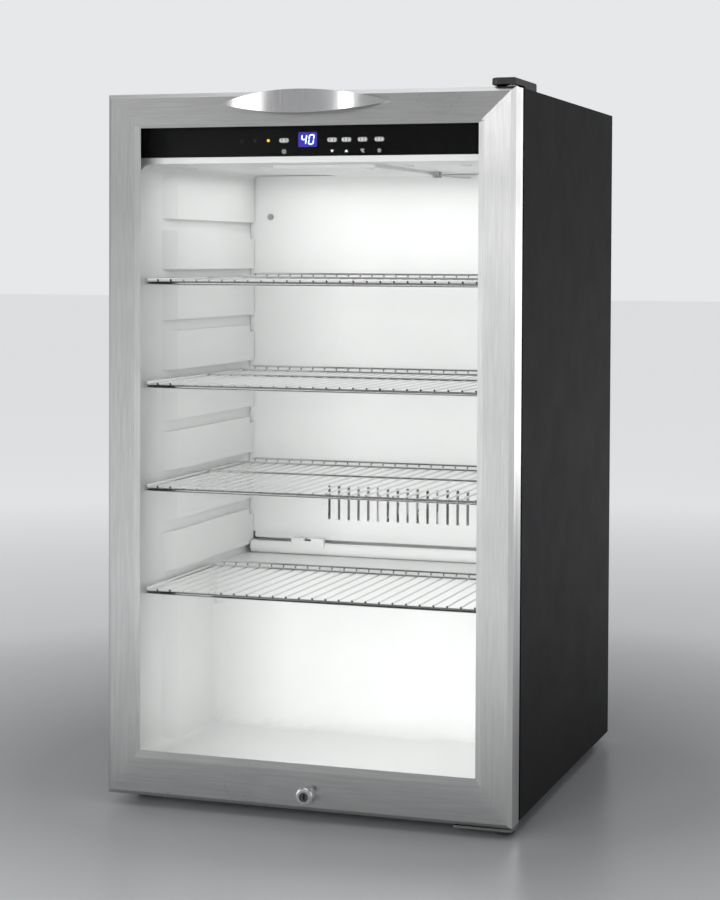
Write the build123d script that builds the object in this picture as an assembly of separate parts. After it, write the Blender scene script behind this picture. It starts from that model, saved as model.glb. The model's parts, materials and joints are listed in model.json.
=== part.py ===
from build123d import *
import math
import os

# Glass-door undercounter refrigerator, right-hand hinges, door closed.
# Millimetres. +X right, +Y to the back, +Z up, seen by a person facing the door.
# The origin is on the floor, under the centre of the whole outline.

# ---- Outline ----
WIDTH = 495.0
DEPTH = 560.0
HANDLE_REACH = 28.0
SPACER_REACH = 12.0
HALF_W = WIDTH / 2
DOOR_FRONT = -DEPTH / 2 + HANDLE_REACH
DOOR_DEPTH = 35.0
DOOR_GAP = 6.0
DOOR_BACK = DOOR_FRONT + DOOR_DEPTH
CABINET_FRONT = DOOR_BACK + DOOR_GAP
CABINET_BACK = DEPTH / 2 - SPACER_REACH
CABINET_TOP = 841.0
CABINET_BOTTOM = 12.0
DOOR_TOP = 840.5
DOOR_BOTTOM = 13.0
SHEET = 1.0
CLEAR = 0.3

# ---- Door ----
BEVEL = 5.0
LIP_DROP = 2.0
OPEN_HALF_W = 205.5
OPEN_BOTTOM = 67.0
OPEN_TOP = 800.7
LIP_SIDE = 7.0
LIP_TOP = 3.0
LIP_BOTTOM = 8.5
GLASS_HALF_W = 226.0
GLASS_BOTTOM = 45.0
GLASS_TOP = 823.0
GLASS_FRONT = DOOR_FRONT + LIP_DROP + SHEET
PANE = 3.2
GLAZING_GAP = 9.6
GLASS_BACK = GLASS_FRONT + 2 * PANE + GLAZING_GAP
WINDOW_HALF_W = 222.0
WINDOW_BOTTOM = 50.0
WINDOW_TOP = 818.0
GASKET_OUT = 238.5
GASKET_W = 9.0
GASKET_BOTTOM = 35.6
GASKET_TOP = 829.0

# ---- Hinges, handle and lock ----
HINGE_PLATE_REACH = 50.0
HINGE_COVER_X = 218.0
HINGE_COVER_BACK = -154.0
HINGE_COVER_HIGH = 9.5
HINGE_X = 239.0
HINGE_Y = -232.0
PIN_R = 3.0
PIN_CLEARANCE = 0.05
BUSH_R = 5.0
BUSH_DEPTH = 15.0
HANDLE_HALF = 104.0
HANDLE_Z = 827.2
HANDLE_HALF_H = 13.3
HANDLE_THICK = 2.5
HANDLE_POST_X = 66.0
LOCK_X = 6.0
LOCK_Z = 32.0
LOCK_BORE_R = 8.0
LOCK_REACH = 12.0

# ---- Cabinet ----
LINER_HALF_W = 226.0
LINER_SKIN = 1.5
FLOOR_Z = 45.0
CEILING_Z = 760.5
LINER_BACK = 193.0
HUMP_FRONT = 18.0
HUMP_TOP = 250.0
FASCIA_BOTTOM = 767.8
FASCIA_TOP = 812.0
HEADER_HALF_W = 225.0
HEADER_DEPTH = 44.0
BAY_FRONT = 56.0
BAY_TOP = 212.0
COVER_FRONT = 151.0
COVER_HALF_W = 225.4
COVER_BOTTOM = 278.0
COVER_TOP = 759.8
COVER_LIP = 8.5
BACK_SCREW_X = 236.0
BACK_SCREW_ZS = (225, 430, 620, 825)
COVER_SCREW_X = 196.0
COVER_SCREW_Z = 704.8
COVER_SLOTS = 17
COVER_SLOT_PITCH = 13.8
COVER_SLOT_LOW = 298.0
COVER_SLOT_HIGH = 343.5
PLATE_TUBE_END = 300.0
DRAIN_X = -150.0
DRAIN_Y = 165.0
HOSE_R = 4.9
SUCTION_X = 176.0
SUCTION_Y = 205.0
SUCTION_Z = 277.0
DUCT_HALF = 5.0
TROUGH_TOP = 267.0
TROUGH_HALF_W = 217.5
TROUGH_CLIP = (-158.0, -112.0)
CONDENSER_LOW = 250.0
CONDENSER_HIGH = 790.0
CONDENSER_FRONT = -170.0
CONDENSER_PITCH = 56.0
CONDENSER_RUNS = 8
CONDENSER_BEND = 18.0

# ---- Shelves and their side grooves ----
GROOVES = 8
GROOVE_TOP = 697.0
GROOVE_PITCH = 62.15
GROOVE_H = 14.2
PAD_RISE = 7.0
PAD_FRONT = -142.0
PAD_BEVEL = 32.0
PAD_BACK = 149.0
PAD_END = 1.5
SHELF_GROOVES = (2, 4, 6, 8)
SHELF_FRONT = -199.0
SHELF_BACK = 121.0
LOW_SHELF_BACK = 13.0
SHELF_MID_SHARE = 0.6
SHELF_SIDE_X = 222.0
RAIL_R = 2.5
SIDE_R = 2.0
CROSS_R = 1.6
WIRE_R = 1.2
WIRE_COUNT = 26
WIRE_PITCH = 16.5
SHELF_STOP_RISE = 6.0
SHELF_CROSS_LIFT = 0.2

# ---- Controls ----
BUTTON_Z = 786.4
BUTTON_XS = (-40.4, 19.0, 36.5, 56.2, 76.5)
BUTTON_W = 11.6
BUTTON_H = 5.0
BUTTON_PROUD = 1.6
LED_XS = (-93.3, -76.8, -60.2)
LED_R = 1.6
DISPLAY_X = -11.3
DISPLAY_Z = 787.1
DISPLAY_W = 23.0
DISPLAY_H = 17.0
FASCIA_TABS = (-200.0, -70.0, 70.0, 200.0)
FASCIA_TAB_HALF = 6.0

# ---- Feet ----
FOOT_X = 220.0
FOOT_FRONT_Y = -192.0
FOOT_BACK_Y = 240.0
FOOT_R = 13.0
STEM_R = 4.0

parts = {}
cabinet_screws = []


def block(x0, x1, y0, y1, z0, z1):
    """Box between two opposite corners."""
    centre = Pos((x0 + x1) / 2, (y0 + y1) / 2, (z0 + z1) / 2)
    return centre * Box(x1 - x0, y1 - y0, z1 - z0)


def rod_x(x0, x1, y, z, radius):
    return Pos((x0 + x1) / 2, y, z) * Rot(0, 90, 0) * Cylinder(radius, x1 - x0)


def rod_y(x, y0, y1, z, radius):
    return Pos(x, (y0 + y1) / 2, z) * Rot(90, 0, 0) * Cylinder(radius, y1 - y0)


def rod_z(x, y, z0, z1, radius):
    return Pos(x, y, (z0 + z1) / 2) * Cylinder(radius, z1 - z0)


def side_frame(half_w, z0, z1, inner_half_w, inner_z0, inner_z1, y0, y1):
    """Flat rectangular ring in the plane of the door, from y0 to y1."""
    ring = block(-half_w, half_w, y0, y1, z0, z1)
    hole = block(-inner_half_w, inner_half_w, y0 - 1, y1 + 1, inner_z0, inner_z1)
    return ring - hole


def prism_xz(points, y0, y1):
    """Polygon drawn in X and Z, extruded from y0 to y1."""
    face = make_face(Polyline([(x, y0, z) for x, z in points], close=True))
    return extrude(face, amount=y1 - y0, dir=(0, 1, 0))


def prism_yz(points, x0, x1):
    """Polygon drawn in Y and Z, extruded from x0 to x1."""
    face = make_face(Polyline([(x0, y, z) for y, z in points], close=True))
    return extrude(face, amount=x1 - x0, dir=(1, 0, 0))


def tube(points, radius, bend):
    """Round tube along straight runs joined by arcs of one radius."""
    path = FilletPolyline(*points, radius=bend)
    section = Plane(origin=path @ 0, z_dir=path % 0) * Circle(radius)
    return sweep(section, path=path)


def screw_y(x, z, seat_y, head_r, shank_r, length, towards=1):
    """Pan-head screw on a face at seat_y, its shank running along Y."""
    face_y = seat_y - towards * head_r * 0.5
    tip_y = seat_y + towards * length
    head = rod_y(x, min(seat_y, face_y), max(seat_y, face_y), z, head_r)
    shank = rod_y(x, min(seat_y, tip_y), max(seat_y, tip_y), z, shank_r)
    slot = block(x - head_r * 0.7, x + head_r * 0.7, face_y - 0.5, face_y + 0.5, z - 0.4, z + 0.4)
    return head + shank - slot


def group(solids):
    """Several identical pieces kept as separate solids under one name."""
    return Compound(children=list(solids))


# ---------------------------------------------------------------- door frame

def bevelled_slab(inset, y_front, y_back):
    """Door outline with its front edges cut back by the outer bevel."""
    slab = block(-HALF_W + inset, HALF_W - inset, y_front, y_back, DOOR_BOTTOM + inset, DOOR_TOP - inset)
    return chamfer(slab.faces().sort_by(Axis.Y)[0].edges(), BEVEL)


def door_skin():
    """Stainless frame as one folded sheet, before it is cut at the mitres."""
    skin = bevelled_slab(0, DOOR_FRONT, DOOR_BACK)
    hollow = bevelled_slab(SHEET, DOOR_FRONT + SHEET, DOOR_BACK + 1)
    land = block(
        -OPEN_HALF_W - LIP_SIDE - SHEET, OPEN_HALF_W + LIP_SIDE + SHEET, DOOR_FRONT, GLASS_FRONT,
        OPEN_BOTTOM - LIP_BOTTOM - SHEET, OPEN_TOP + LIP_TOP + SHEET,
    )
    skin = skin - (hollow - land)
    outer = Plane(origin=(0, DOOR_FRONT, 0), x_dir=(1, 0, 0), z_dir=(0, -1, 0)) * Pos(
        0, (OPEN_BOTTOM - LIP_BOTTOM + OPEN_TOP + LIP_TOP) / 2
    ) * Rectangle(2 * (OPEN_HALF_W + LIP_SIDE), OPEN_TOP + LIP_TOP - OPEN_BOTTOM + LIP_BOTTOM)
    inner = Plane(origin=(0, DOOR_FRONT + LIP_DROP, 0), x_dir=(1, 0, 0), z_dir=(0, -1, 0)) * Pos(
        0, (OPEN_BOTTOM + OPEN_TOP) / 2
    ) * Rectangle(2 * OPEN_HALF_W, OPEN_TOP - OPEN_BOTTOM)
    mouth = loft([outer, inner])
    window = block(-OPEN_HALF_W, OPEN_HALF_W, DOOR_FRONT, DOOR_BACK, OPEN_BOTTOM, OPEN_TOP)
    return skin - mouth - window


def mitre_wedges():
    """Four wedges that cut the frame along lines from outer to inner corner."""
    left, right = -HALF_W - 5, HALF_W + 5
    slope_top = (DOOR_TOP - OPEN_TOP) / (HALF_W - OPEN_HALF_W)
    slope_bottom = (OPEN_BOTTOM - DOOR_BOTTOM) / (HALF_W - OPEN_HALF_W)
    top, bottom = DOOR_TOP + 5 * slope_top, DOOR_BOTTOM - 5 * slope_bottom
    in_l, in_r = -OPEN_HALF_W + 1, OPEN_HALF_W - 1
    in_t, in_b = OPEN_TOP - slope_top, OPEN_BOTTOM + slope_bottom
    corners = {
        "top": [(left, top), (right, top), (in_r, in_t), (in_l, in_t)],
        "bottom": [(left, bottom), (right, bottom), (in_r, in_b), (in_l, in_b)],
        "left": [(left, top), (in_l, in_t), (in_l, in_b), (left, bottom)],
        "right": [(right, top), (in_r, in_t), (in_r, in_b), (right, bottom)],
    }
    return {name: prism_xz(points, DOOR_FRONT - 1, DOOR_BACK + 1) for name, points in corners.items()}


def make_door_frame():
    skin = door_skin()
    skin -= rod_z(HINGE_X, HINGE_Y, DOOR_BOTTOM - 1, DOOR_TOP + 1, BUSH_R + 0.1)
    skin -= rod_y(LOCK_X, DOOR_FRONT - 1, DOOR_BACK, LOCK_Z, LOCK_BORE_R + 0.1)
    for side in (-1, 1):
        skin -= rod_y(side * HANDLE_POST_X, DOOR_FRONT - 1, DOOR_BACK, HANDLE_Z, 2.2)
    wedges = mitre_wedges()
    parts["door_top_rail"] = skin & wedges["top"]
    parts["door_bottom_rail"] = skin & wedges["bottom"]
    parts["door_stiles"] = group([skin & wedges["left"], skin & wedges["right"]])


def make_door_core():
    """Plastic inner frame that holds the glazing, the bushes and the gasket."""
    inset = SHEET + 0.1
    half = HALF_W - inset
    core = block(-half, half, GLASS_FRONT, DOOR_BACK, DOOR_BOTTOM + inset, DOOR_TOP - inset)
    core = chamfer(core.faces().sort_by(Axis.Y)[0].edges(), BEVEL - 2 * SHEET)
    core -= block(
        -GLASS_HALF_W - CLEAR, GLASS_HALF_W + CLEAR, GLASS_FRONT - 1, GLASS_BACK + 0.1,
        GLASS_BOTTOM - CLEAR, GLASS_TOP + CLEAR,
    )
    core -= block(-WINDOW_HALF_W, WINDOW_HALF_W, GLASS_FRONT, DOOR_BACK + 1, WINDOW_BOTTOM, WINDOW_TOP)
    core -= rod_z(HINGE_X, HINGE_Y, DOOR_TOP - BUSH_DEPTH, DOOR_TOP, BUSH_R + 0.02)
    core -= rod_z(HINGE_X, HINGE_Y, DOOR_BOTTOM, DOOR_BOTTOM + BUSH_DEPTH, BUSH_R + 0.02)
    core -= rod_y(LOCK_X, DOOR_FRONT, DOOR_BACK + 1, LOCK_Z, LOCK_BORE_R + 0.1)
    for side in (-1, 1):
        core -= rod_y(side * HANDLE_POST_X, DOOR_FRONT, DOOR_BACK + 1, HANDLE_Z, 2.2)
        core -= rod_y(side * HANDLE_POST_X, DOOR_BACK - 3.2, DOOR_BACK + 1, HANDLE_Z, 4.4)
    parts["door_inner_frame"] = core


def make_glazing():
    inset = 0.2
    parts["glass_panes"] = group(
        block(-GLASS_HALF_W, GLASS_HALF_W, y0, y1, GLASS_BOTTOM, GLASS_TOP)
        for y0, y1 in ((GLASS_FRONT + 0.05, GLASS_FRONT + PANE), (GLASS_BACK - PANE, GLASS_BACK))
    )
    parts["glazing_spacer"] = side_frame(
        GLASS_HALF_W - inset, GLASS_BOTTOM + inset, GLASS_TOP - inset,
        GLASS_HALF_W - 8, GLASS_BOTTOM + 8, GLASS_TOP - 8,
        GLASS_FRONT + PANE, GLASS_BACK - PANE,
    )


def make_gasket():
    """Magnetic gasket: a base strip, two bellows folds and a flat sealing face."""
    def ring(shrink, y0, y1):
        inner = GASKET_W - shrink
        return side_frame(
            GASKET_OUT - shrink, GASKET_BOTTOM + shrink, GASKET_TOP - shrink,
            GASKET_OUT - inner, GASKET_BOTTOM + inner, GASKET_TOP - inner, y0, y1,
        )
    front, back = DOOR_BACK, CABINET_FRONT - CLEAR
    fold = 1.2
    layers = [(0, 1.6), (fold, 2.4), (0, 3.6), (fold, 4.4), (0, back - front)]
    gasket = ring(0, front, front + layers[0][1])
    for (_, start), (shrink, end) in zip(layers, layers[1:]):
        gasket += ring(shrink, front + start, front + end)
    parts["door_gasket"] = gasket


def make_handle():
    """Lens-shaped plate bowed away from the door, on two posts."""
    tip_y = DOOR_FRONT - 0.6
    sag = tip_y + DEPTH / 2
    bow_r = (HANDLE_HALF**2 + sag**2) / (2 * sag)
    centre_y = -DEPTH / 2 + bow_r
    shell = Pos(0, centre_y, HANDLE_Z) * (
        Cylinder(bow_r, 4 * HANDLE_HALF_H) - Cylinder(bow_r - HANDLE_THICK, 5 * HANDLE_HALF_H)
    )
    lens_r = (HANDLE_HALF**2 + HANDLE_HALF_H**2) / (2 * HANDLE_HALF_H)
    drop = lens_r - HANDLE_HALF_H
    depth = HANDLE_REACH + 6
    upper = Pos(0, DOOR_FRONT - depth / 2, HANDLE_Z - drop) * Rot(90, 0, 0) * Cylinder(lens_r, depth)
    lower = Pos(0, DOOR_FRONT - depth / 2, HANDLE_Z + drop) * Rot(90, 0, 0) * Cylinder(lens_r, depth)
    front_zone = block(-HALF_W, HALF_W, -DEPTH, DOOR_FRONT - 0.05, 0, 2 * CABINET_TOP)
    plate = shell & upper & lower & front_zone
    for side in (-1, 1):
        x = side * HANDLE_POST_X
        post_tip = centre_y - math.sqrt((bow_r - HANDLE_THICK / 2) ** 2 - x**2)
        plate += rod_y(x, post_tip + 0.6, DOOR_FRONT - 0.05, HANDLE_Z, 4.5)
        plate -= rod_y(x, DOOR_FRONT - 9, DOOR_FRONT, HANDLE_Z, 1.9)
    parts["door_handle"] = plate
    parts["handle_screws"] = group(
        rod_y(side * HANDLE_POST_X, DOOR_FRONT - 8, DOOR_BACK - 3.2, HANDLE_Z, 1.8)
        + rod_y(side * HANDLE_POST_X, DOOR_BACK - 3.2, DOOR_BACK - 0.6, HANDLE_Z, 4.0)
        for side in (-1, 1)
    )


def make_lock():
    face_y = DOOR_FRONT - LOCK_REACH
    bezel = rod_y(LOCK_X, face_y, DOOR_FRONT, LOCK_Z, 10.8)
    bezel = fillet(bezel.edges().sort_by(Axis.Y)[0], 3.2)
    bezel += rod_y(LOCK_X, DOOR_FRONT - 1, DOOR_BACK - 1, LOCK_Z, LOCK_BORE_R)
    bezel += Pos(LOCK_X + 7.6, DOOR_FRONT - 6, LOCK_Z + 7.6) * Rot(90, 0, 0) * Cylinder(2.8, 6)
    bezel -= rod_y(LOCK_X, face_y - 1, DOOR_BACK, LOCK_Z, 5.5)
    parts["lock_bezel"] = bezel
    plug = rod_y(LOCK_X, face_y + 1.5, DOOR_BACK - 1, LOCK_Z, 5.45)
    plug += rod_y(LOCK_X, DOOR_BACK - 1, CABINET_FRONT + 4.5, LOCK_Z, 3.0)
    plug -= block(LOCK_X - 0.8, LOCK_X + 0.8, face_y, face_y + 9, LOCK_Z - 3.4, LOCK_Z + 3.4)
    parts["lock_plug"] = plug
    cam_front = CABINET_FRONT + 2.0
    cam = block(LOCK_X - 4, LOCK_X + 4, cam_front, cam_front + 2, LOCK_Z - 12, LOCK_Z + 4)
    cam = fillet(cam.edges().filter_by(Axis.Y), 2.0)
    cam -= rod_y(LOCK_X, cam_front - 1, cam_front + 3, LOCK_Z, 3.02)
    nut = Pos(LOCK_X, cam_front + 2.05, LOCK_Z) * Rot(-90, 0, 0) * extrude(RegularPolygon(5.2, 6), 2.0)
    parts["lock_cam"] = group([cam, nut - rod_y(LOCK_X, cam_front, cam_front + 6, LOCK_Z, 3.02)])


def strike_slot(y0, y1):
    """Keyhole-like slot that the cam passes through while the door is unlocked."""
    return block(LOCK_X - 6, LOCK_X + 6, y0, y1, LOCK_Z - 14, LOCK_Z + 6)


def make_strike():
    x0, x1 = LOCK_X - 18, LOCK_X + 18
    cup = block(x0, x1, CABINET_FRONT + SHEET, CABINET_FRONT + 12, LOCK_Z - 16, LOCK_Z + 9)
    cup -= block(x0 + 1, x1 - 1, CABINET_FRONT, CABINET_FRONT + 11, LOCK_Z - 15, LOCK_Z + 8)
    parts["lock_strike_cup"] = cup


# ---------------------------------------------------------------- cabinet

def make_side_panels():
    """Painted side sheets, each with a folded front flange for the gasket."""
    low = CABINET_BOTTOM + 1.7
    panel = block(HALF_W - SHEET, HALF_W, CABINET_FRONT, CABINET_BACK, low, CABINET_TOP)
    flange_x = LINER_HALF_W + LINER_SKIN + 0.1
    panel += block(flange_x, HALF_W, CABINET_FRONT, CABINET_FRONT + SHEET, low, CABINET_TOP)
    parts["side_panels"] = group([mirror(panel, Plane.YZ), panel])


def make_top_panel():
    half = HALF_W - SHEET - 0.1
    flange_half = LINER_HALF_W + LINER_SKIN
    sheet = block(-half, half, CABINET_FRONT + SHEET, CABINET_BACK, CABINET_TOP - SHEET, CABINET_TOP)
    sheet += block(
        -flange_half, flange_half, CABINET_FRONT, CABINET_BACK - 100, CABINET_TOP - SHEET, CABINET_TOP
    )
    sheet += block(
        -flange_half, flange_half, CABINET_FRONT, CABINET_FRONT + SHEET, FASCIA_TOP + 0.1, CABINET_TOP
    )
    parts["top_panel"] = sheet


def make_base():
    """Base pan under the insulation, with the front cross flange."""
    half = HALF_W - SHEET - 0.1
    flange_half = LINER_HALF_W + LINER_SKIN
    flange_back = CABINET_FRONT + SHEET
    pan = block(-half, half, flange_back, BAY_FRONT - 1.2, CABINET_BOTTOM, CABINET_BOTTOM + 1.2)
    pan += block(-flange_half, flange_half, CABINET_FRONT, flange_back, CABINET_BOTTOM, FLOOR_Z - 1.6)
    pan += block(
        -flange_half, flange_half, CABINET_FRONT, CABINET_FRONT + 5, CABINET_BOTTOM, CABINET_BOTTOM + 1.2
    )
    pan -= strike_slot(CABINET_FRONT - 1, CABINET_FRONT + SHEET + 0.5)
    parts["base_pan"] = pan
    plate = block(-half, half, BAY_FRONT - 1.2, CABINET_BACK, CABINET_BOTTOM, CABINET_BOTTOM + 2)
    plate += block(-half, half, CABINET_BACK - 2, CABINET_BACK, CABINET_BOTTOM, CABINET_BOTTOM + 16)
    parts["compressor_plate"] = plate


def header_pocket(margin, y0, y1):
    return block(
        -HEADER_HALF_W - margin, HEADER_HALF_W + margin, y0, y1, FASCIA_BOTTOM - margin, FASCIA_TOP + margin
    )


def liner_band(margin):
    """White strip of the liner between the ceiling and the control panel."""
    half = LINER_HALF_W + LINER_SKIN + margin
    back = CABINET_FRONT + LINER_SKIN + margin
    return block(-half, half, CABINET_FRONT, back, CEILING_Z, FASCIA_BOTTOM - 0.1 + margin)


def liner_outer():
    """Solid that the liner's outer surface encloses."""
    half = LINER_HALF_W + LINER_SKIN
    low, high = FLOOR_Z - LINER_SKIN, CEILING_Z + LINER_SKIN
    body = block(-half, half, CABINET_FRONT, LINER_BACK + LINER_SKIN, HUMP_TOP - LINER_SKIN, high)
    body += block(-half, half, CABINET_FRONT, HUMP_FRONT + LINER_SKIN, low, high)
    return body


def wall_pads():
    """Raised side pads that leave the shelf grooves between them, right-hand wall."""
    x_in, x_wall = LINER_HALF_W - PAD_RISE, LINER_HALF_W + 0.5
    outline = Polyline(
        [
            (x_wall, PAD_FRONT), (LINER_HALF_W, PAD_FRONT), (x_in, PAD_FRONT + PAD_BEVEL),
            (x_in, PAD_BACK), (LINER_HALF_W, PAD_BACK + PAD_END), (x_wall, PAD_BACK + PAD_END),
        ],
        close=True,
    )
    column = Pos(0, 0, FLOOR_Z - 0.5) * extrude(make_face(outline), amount=CEILING_Z - FLOOR_Z + 1)
    for i in range(GROOVES):
        top = GROOVE_TOP - i * GROOVE_PITCH
        column -= block(x_in - 1, LINER_HALF_W, PAD_FRONT - 1, PAD_BACK + 6, top - GROOVE_H, top)
        column -= block(x_in - 1, LINER_HALF_W, PAD_BACK - 15, PAD_BACK + 6, top - GROOVE_H - 8, top)
    column -= block(x_in - 1, x_wall + 1, HUMP_FRONT + 0.5, PAD_BACK + 10, FLOOR_Z - 1, HUMP_TOP - 0.5)
    return column


def make_liner():
    half = LINER_HALF_W
    cavity = block(-half, half, CABINET_FRONT - 1, LINER_BACK, HUMP_TOP, CEILING_Z)
    cavity += block(-half, half, CABINET_FRONT - 1, HUMP_FRONT, FLOOR_Z, CEILING_Z)
    cavity = fillet(cavity.edges().filter_by(Axis.X).sort_by(Axis.Y)[2:], 6.0)
    liner = liner_outer() - cavity
    liner += liner_band(0)
    pads = wall_pads()
    liner = liner + pads + mirror(pads, Plane.YZ)
    for side in (-1, 1):
        x = side * COVER_SCREW_X
        liner += rod_y(x, COVER_FRONT + 2.1, LINER_BACK + 0.5, COVER_SCREW_Z, 5.0)
        liner -= rod_y(x, COVER_FRONT, COVER_FRONT + 16, COVER_SCREW_Z, 1.6)
    liner -= rod_z(DRAIN_X, DRAIN_Y, HUMP_TOP - 4, HUMP_TOP + 1, HOSE_R + 0.3)
    liner -= suction_duct()
    parts["inner_liner"] = liner


def suction_duct():
    """Square passage through liner and foam for the suction line."""
    x0, x1 = SUCTION_X - DUCT_HALF, SUCTION_X + DUCT_HALF
    y0, y1 = SUCTION_Y - DUCT_HALF, SUCTION_Y + DUCT_HALF
    low, high = SUCTION_Z - DUCT_HALF, SUCTION_Z + DUCT_HALF
    duct = block(x0, x1, LINER_BACK - 1, y1, low, high)
    return duct + block(x0, x1, y0, y1, BAY_TOP - 2, high)


def condenser_points(side):
    """Up-and-down run of the condenser tube beside one wall, front to back."""
    x = side * (HALF_W - SHEET - 3.0)
    low, high = CONDENSER_LOW, CONDENSER_HIGH
    ys = [CONDENSER_FRONT + CONDENSER_PITCH * i for i in range(CONDENSER_RUNS)]
    points = [(x, ys[0], low - 20)]
    for i, y in enumerate(ys):
        ends = (low, high) if i % 2 == 0 else (high, low)
        if i > 0:
            points.append((x, y, ends[0]))
        if i < len(ys) - 1:
            points.append((x, y, ends[1]))
    points.append((x, ys[-1], low - 20))
    return points


def condenser_channels(side):
    """Square-cut channels in the foam that leave room for the condenser tube."""
    x0, x1 = HALF_W - SHEET - 6.0, HALF_W - SHEET
    if side < 0:
        x0, x1 = -x1, -x0
    last_y = CONDENSER_FRONT + CONDENSER_PITCH * (CONDENSER_RUNS - 1)
    reach = CONDENSER_BEND + 3
    channels = block(x0, x1, CONDENSER_FRONT - 3, last_y + 3, CONDENSER_HIGH - reach, CONDENSER_HIGH + 3)
    channels += block(x0, x1, CONDENSER_FRONT - 3, last_y + 3, CONDENSER_LOW - 3, CONDENSER_LOW + reach)
    for i in range(CONDENSER_RUNS):
        y = CONDENSER_FRONT + CONDENSER_PITCH * i
        low = CONDENSER_LOW - 23 if i in (0, CONDENSER_RUNS - 1) else CONDENSER_LOW
        channels += block(x0, x1, y - 3, y + 3, low, CONDENSER_HIGH)
    return channels


def make_foam():
    """Foamed insulation between the outer sheets and the liner."""
    half = HALF_W - SHEET - 0.1
    foam = block(
        -half, half, CABINET_FRONT + SHEET + 0.1, CABINET_BACK - SHEET - 0.1,
        CABINET_BOTTOM + 1.3, CABINET_TOP - SHEET - 0.1,
    )
    foam = foam - liner_outer() - liner_band(0.1)
    foam -= header_pocket(0.2, CABINET_FRONT, CABINET_FRONT + HEADER_DEPTH + 0.2)
    foam -= block(-half - 1, half + 1, BAY_FRONT - 1.2, CABINET_BACK + 1, 0, BAY_TOP + 1.2)
    foam -= block(
        LOCK_X - 18.2, LOCK_X + 18.2, CABINET_FRONT, CABINET_FRONT + 12.2, LOCK_Z - 16.2, LOCK_Z + 9.2
    )
    for x in (-FOOT_X, FOOT_X):
        foam -= rod_z(x, FOOT_FRONT_Y, CABINET_BOTTOM, CABINET_BOTTOM + 28, 8.5)
    for side in (-1, 1):
        foam -= condenser_channels(side)
    foam -= suction_duct()
    foam -= rod_z(DRAIN_X, DRAIN_Y, BAY_TOP, HUMP_TOP, HOSE_R + 0.3)
    parts["insulation_foam"] = foam


def make_bay_lining():
    """Sheet that lines the machine bay's front and roof."""
    half = HALF_W - SHEET - 0.1
    sheet = block(-half, half, BAY_FRONT - 1, BAY_FRONT, CABINET_BOTTOM + 2.1, BAY_TOP)
    sheet += block(-half, half, BAY_FRONT - 1, CABINET_BACK - 1.2, BAY_TOP, BAY_TOP + 1)
    sheet = sheet - rod_z(DRAIN_X, DRAIN_Y, BAY_TOP - 2, HUMP_TOP, HOSE_R + 0.3) - suction_duct()
    parts["machine_bay_lining"] = sheet


def make_back_panel():
    half = HALF_W - SHEET - 0.1
    low = BAY_TOP + 1.2
    panel = block(-half, half, CABINET_BACK - SHEET, CABINET_BACK, low, CABINET_TOP - SHEET - 0.1)
    for z in (330, 520, 710):
        panel += block(-half + 40, half - 40, CABINET_BACK, CABINET_BACK + 1.5, z - 4, z + 4)
    for x in (-BACK_SCREW_X, BACK_SCREW_X):
        for z in BACK_SCREW_ZS:
            panel -= rod_y(x, CABINET_BACK - 2, CABINET_BACK + 1, z, 2.05)
            parts["insulation_foam"] -= rod_y(x, CABINET_BACK - 12, CABINET_BACK, z, 2.2)
            cabinet_screws.append(screw_y(x, z, CABINET_BACK, 4.0, 2.0, 9.0, towards=-1))
    parts["back_panel"] = panel


def make_wall_spacers():
    """Bumpers that keep the back clear of the wall."""
    spacers = []
    for side in (-1, 1):
        body = block(side * 190 - 15, side * 190 + 15, CABINET_BACK + 0.05, DEPTH / 2, 770, 800)
        spacers.append(chamfer(body.faces().sort_by(Axis.Y)[-1].edges(), 3.0))
    parts["wall_spacers"] = group(spacers)


# ---------------------------------------------------------------- interior

def make_evaporator():
    """Cold plate with its tube, the cover in front of it and the drain trough."""
    cover = block(-COVER_HALF_W, COVER_HALF_W, COVER_FRONT, COVER_FRONT + 2, COVER_BOTTOM, COVER_TOP)
    cover = fillet(cover.edges().filter_by(Axis.Y), 4.0)
    cover += block(
        -TROUGH_HALF_W, TROUGH_HALF_W, COVER_FRONT + 1.2, COVER_FRONT + 3,
        COVER_BOTTOM - COVER_LIP, COVER_BOTTOM + 3,
    )
    for side in (-1, 1):
        edge = side * (COVER_HALF_W - 1)
        low, high = COVER_BOTTOM + 10, COVER_TOP - 10
        cover += block(edge - 1, edge + 1, COVER_FRONT + 1, COVER_FRONT + 12, low, high)
    for i in range(COVER_SLOTS):
        x = (i - (COVER_SLOTS - 1) / 2) * COVER_SLOT_PITCH
        cover -= block(
            x - 1.8, x + 1.8, COVER_FRONT - 1, COVER_FRONT + 3, COVER_SLOT_LOW, COVER_SLOT_HIGH
        )
    for x in (-COVER_SCREW_X, COVER_SCREW_X):
        cover -= rod_y(x, COVER_FRONT - 1, COVER_FRONT + 3, COVER_SCREW_Z, 1.7)
        cabinet_screws.append(screw_y(x, COVER_SCREW_Z, COVER_FRONT, 4.2, 1.5, 15.0))
    parts["evaporator_cover"] = cover
    plate_y = 178.0
    plate = block(-190, 190, plate_y, plate_y + 1.5, 400, 735)
    runs = 7
    step = 44.0
    points = []
    for i in range(runs):
        z = 425 + i * step
        ends = (-160, 160) if i % 2 == 0 else (160, -160)
        points += [(ends[0], plate_y + 4.4, z), (ends[1], plate_y + 4.4, z)]
    points[-1] = (SUCTION_X, plate_y + 4.4, points[-1][2])
    points.append((SUCTION_X, plate_y + 4.4, PLATE_TUBE_END))
    plate += tube(points, 3.2, 14.0)
    parts["evaporator_plate"] = plate


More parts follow.
